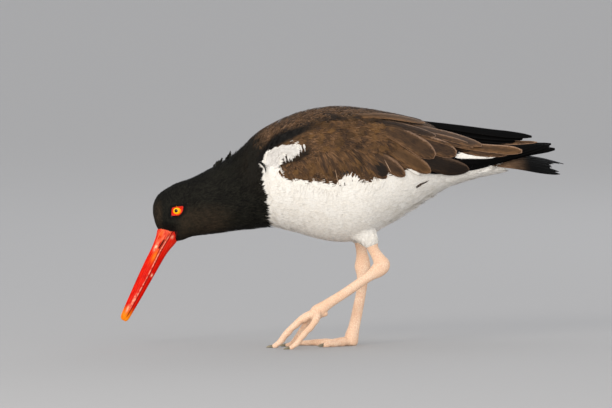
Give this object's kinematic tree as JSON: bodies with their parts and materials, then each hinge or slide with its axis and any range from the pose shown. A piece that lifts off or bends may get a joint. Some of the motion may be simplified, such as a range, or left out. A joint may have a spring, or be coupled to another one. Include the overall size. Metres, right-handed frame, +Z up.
{
  "type": "oystercatcher",
  "caption": "Still, life-size oystercatcher in a slow foraging step, bill pointed down, wings folded, set down on its toes.",
  "frame": {"origin": "bottom centre of the bounding box, on the floor under the middle of the bird", "axes": "+Z up; +X from the head towards the tail, so the bird faces -X; +Y towards the bird's right side"},
  "size_m": [0.3959, 0.108, 0.2159],
  "materials": {
    "hood_feathers": "matt black feathers with an olive-brown cast",
    "body_feathers": "soft matt white feathers, brown on the back",
    "wing_feathers": "brown feathers with thin paler fringes",
    "flight_feathers": "black flight feathers with a slight gloss",
    "bill_horn": "glossy orange-red horn with a paler tip",
    "eye": "wet, clear, yellow iris with a black pupil",
    "eye_ring": "bare orange-red skin",
    "leg_skin": "pale flesh-pink scaled skin",
    "claw_horn": "dull dark horn"
  },
  "bodies": {
    "root": {"head": "hood_feathers", "neck": "hood_feathers", "trunk": "body_feathers", "tail_coverts": "body_feathers", "tail": "flight_feathers", "wing_left": "wing_feathers", "wing_right": "wing_feathers", "tertials_left": "wing_feathers", "tertials_right": "wing_feathers", "primaries_left": "flight_feathers", "primaries_right": "flight_feathers", "bill_upper": "bill_horn", "bill_lower": "bill_horn", "eye_left": "eye", "eye_right": "eye", "eye_ring_left": "eye_ring", "eye_ring_right": "eye_ring", "thigh_left": "body_feathers", "thigh_right": "body_feathers", "shank_left": "leg_skin", "shank_right": "leg_skin", "tarsus_left": "leg_skin", "tarsus_right": "leg_skin", "toe_middle_left": "leg_skin", "toe_inner_left": "leg_skin", "toe_outer_left": "leg_skin", "toe_middle_right": "leg_skin", "toe_inner_right": "leg_skin", "toe_outer_right": "leg_skin", "claw_middle_left": "claw_horn", "claw_inner_left": "claw_horn", "claw_outer_left": "claw_horn", "claw_middle_right": "claw_horn", "claw_inner_right": "claw_horn", "claw_outer_right": "claw_horn"}
  },
  "joints": []
}
